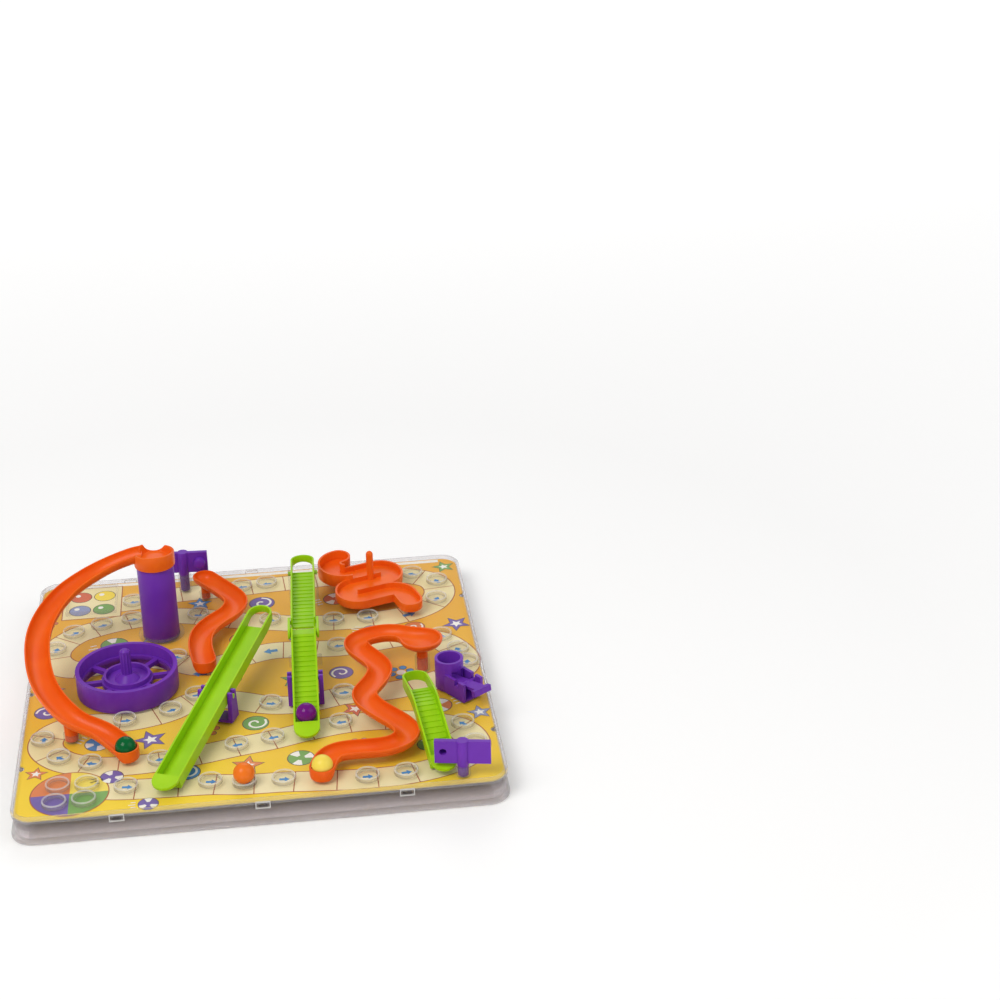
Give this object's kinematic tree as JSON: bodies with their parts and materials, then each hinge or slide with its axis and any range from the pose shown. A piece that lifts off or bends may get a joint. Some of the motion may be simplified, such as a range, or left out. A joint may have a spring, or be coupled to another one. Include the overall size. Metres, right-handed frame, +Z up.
{
  "type": "snakes and ladders marble board",
  "caption": "Square marble board on a clear tray: snake channels, tilting ladders, a spinner wheel, strikers and a popper above a printed winding track with cups.",
  "frame": {"origin": "middle of the tray's underside", "axes": "+X to the board's right, +Y from the start edge to the back, +Z up"},
  "size_m": [0.292, 0.2924, 0.0802],
  "materials": {
    "clear_plastic": "clear, glossy",
    "printed_card": "printed card",
    "orange_plastic": "moulded, satin gloss",
    "purple_plastic": "moulded, satin gloss",
    "green_plastic": "moulded, satin gloss",
    "marble_green": "opaque, polished",
    "marble_orange": "opaque, polished",
    "marble_yellow": "opaque, polished",
    "marble_purple": "opaque, polished"
  },
  "bodies": {
    "board": {"base_tray": "clear_plastic", "top_cover": "clear_plastic", "game_card": "printed_card", "track_cups": "clear_plastic", "home_pen": "clear_plastic", "post_sockets": "clear_plastic", "tower_seat": "clear_plastic", "ladder_stands": "clear_plastic", "tower": "purple_plastic", "tower_snake": "orange_plastic", "zigzag_snake": "orange_plastic", "spoon_snake": "orange_plastic", "seesaw_fulcrum": "purple_plastic", "ladder_fulcrum": "purple_plastic", "short_ladder": "green_plastic", "popper_housing": "purple_plastic"},
    "wheel": {"spinner_wheel": "purple_plastic"},
    "maze": {"maze_snake": "orange_plastic"},
    "seesaw": {"seesaw_ladder": "green_plastic"},
    "lower": {"lower_ladder": "green_plastic"},
    "bridge": {"ladder_bridge": "green_plastic"},
    "upper": {"upper_ladder": "green_plastic"},
    "striker_front": {"front_striker": "purple_plastic"},
    "striker_rear": {"rear_striker": "purple_plastic"},
    "lever": {"popper_lever": "purple_plastic"},
    "green_marble": {"marble_green": "marble_green"},
    "orange_marble": {"marble_orange": "marble_orange"},
    "yellow_marble": {"marble_yellow": "marble_yellow"},
    "purple_marble": {"marble_purple": "marble_purple"}
  },
  "joints": [
    {"name": "wheel_spin", "type": "hinge", "parent": "board", "child": "wheel", "pos_m": [-0.081, -0.004, 0.0222], "axis": [0, 0, 1], "continuous": true},
    {"name": "maze_swivel", "type": "hinge", "parent": "board", "child": "maze", "pos_m": [0.081, 0.1015, 0.0202], "axis": [0, 0, 1], "range_deg": [-20, 8]},
    {"name": "seesaw_tilt", "type": "hinge", "parent": "board", "child": "seesaw", "pos_m": [-0.0243, -0.0484, 0.0337], "axis": [-0.9272, 0.3746, 0], "range_deg": [0, 16.5]},
    {"name": "lower_tilt", "type": "hinge", "parent": "board", "child": "lower", "pos_m": [0.0304, -0.038, 0.0337], "axis": [-0.9994, 0.0349, 0], "range_deg": [0, 23]},
    {"name": "bridge_turn", "type": "hinge", "parent": "lower", "child": "bridge", "pos_m": [0.03167, -0.0017, 0.04554], "axis": [-0.9994, 0.0349, 0], "range_deg": [-23, 0]},
    {"name": "upper_tilt", "type": "hinge", "parent": "board", "child": "upper", "pos_m": [0.03487, 0.08992, 0.04066], "axis": [-0.9994, 0.0349, 0], "range_deg": [-11.18, 0]},
    {"name": "front_striker_swing", "type": "hinge", "parent": "board", "child": "striker_front", "pos_m": [0.118, -0.1362, 0.0212], "axis": [0, 0, 1], "range_deg": [-10, 30]},
    {"name": "rear_striker_swing", "type": "hinge", "parent": "board", "child": "striker_rear", "pos_m": [-0.0456, 0.124, 0.0232], "axis": [0, 0, 1], "range_deg": [-8, 25]},
    {"name": "lever_press", "type": "hinge", "parent": "board", "child": "lever", "pos_m": [0.12995, -0.04627, 0.0252], "axis": [0.829, 0.5592, 0], "range_deg": [0, 13]},
    {"name": "green_marble_lift", "type": "slide", "parent": "board", "child": "green_marble", "axis": [0, 0, 1], "range_m": [0, 0.03]},
    {"name": "orange_marble_lift", "type": "slide", "parent": "board", "child": "orange_marble", "axis": [0, 0, 1], "range_m": [0, 0.03]},
    {"name": "yellow_marble_lift", "type": "slide", "parent": "board", "child": "yellow_marble", "axis": [0, 0, 1], "range_m": [0, 0.03]},
    {"name": "purple_marble_lift", "type": "slide", "parent": "lower", "child": "purple_marble", "axis": [-0.0108, -0.3097, 0.9508], "range_m": [0, 0.03]}
  ],
  "couplings": [
    {"joint": "bridge_turn", "follows": "lower_tilt", "ratio": -1},
    {"joint": "upper_tilt", "follows": "lower_tilt", "ratio": -0.486}
  ]
}
